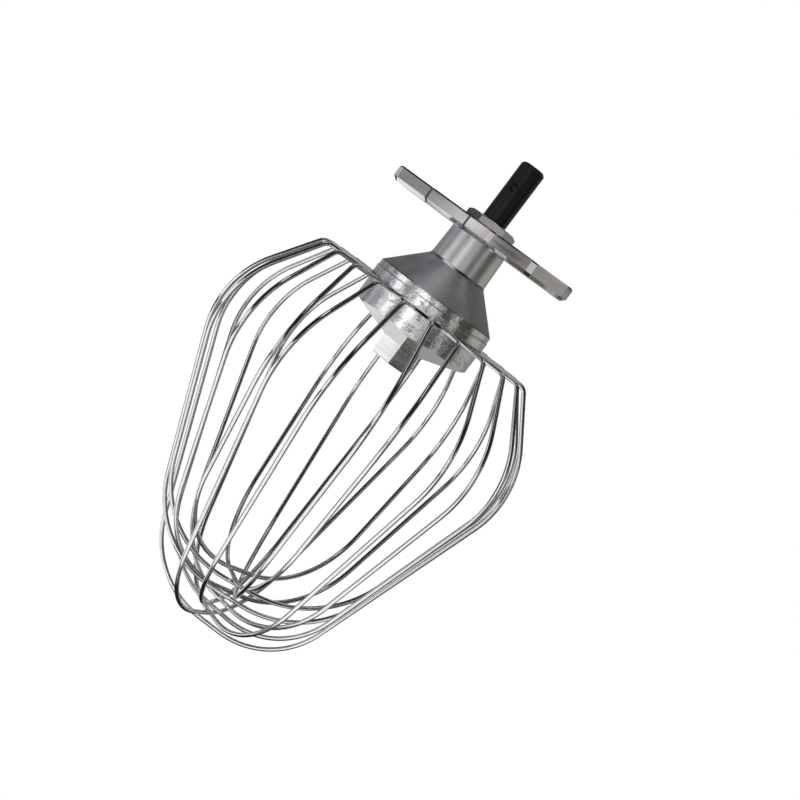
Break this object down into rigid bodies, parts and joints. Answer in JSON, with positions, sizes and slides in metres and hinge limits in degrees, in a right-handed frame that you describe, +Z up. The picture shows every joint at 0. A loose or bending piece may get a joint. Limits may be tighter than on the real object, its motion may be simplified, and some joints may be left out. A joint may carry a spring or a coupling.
{
  "type": "mixer whisk attachment",
  "caption": "Balloon whisk for a stand mixer: steel wire loops clamped between a flared cast hub and a hexagon-bossed cap, with a grip bar, lock nut and drive shaft.",
  "frame": {"origin": "on the drive shaft's axis at the top face of the lock nut, where the free length of the shaft begins", "axes": "+Z up the drive shaft, the whisk hangs towards -Z, +X along the grip bar, metres"},
  "size_m": [0.1361, 0.1358, 0.2197],
  "materials": {
    "black_steel": "blackened steel, smooth turned",
    "nut_steel": "plain steel, dull",
    "bar_aluminium": "lightly polished aluminium",
    "cast_aluminium": "satin cast aluminium, turned rim",
    "cap_aluminium": "turned and milled aluminium",
    "wire_steel": "bright drawn stainless wire"
  },
  "bodies": {
    "root": {"drive_shaft": "black_steel", "lock_nut": "nut_steel", "grip_bar": "bar_aluminium", "hub": "cast_aluminium", "clamp_cap": "cap_aluminium", "wire_loop_01": "wire_steel", "wire_loop_02": "wire_steel", "wire_loop_03": "wire_steel", "wire_loop_04": "wire_steel", "wire_loop_05": "wire_steel", "wire_loop_06": "wire_steel", "wire_loop_07": "wire_steel", "wire_loop_08": "wire_steel", "wire_loop_09": "wire_steel", "wire_loop_10": "wire_steel", "wire_loop_11": "wire_steel", "wire_loop_12": "wire_steel"}
  },
  "joints": []
}
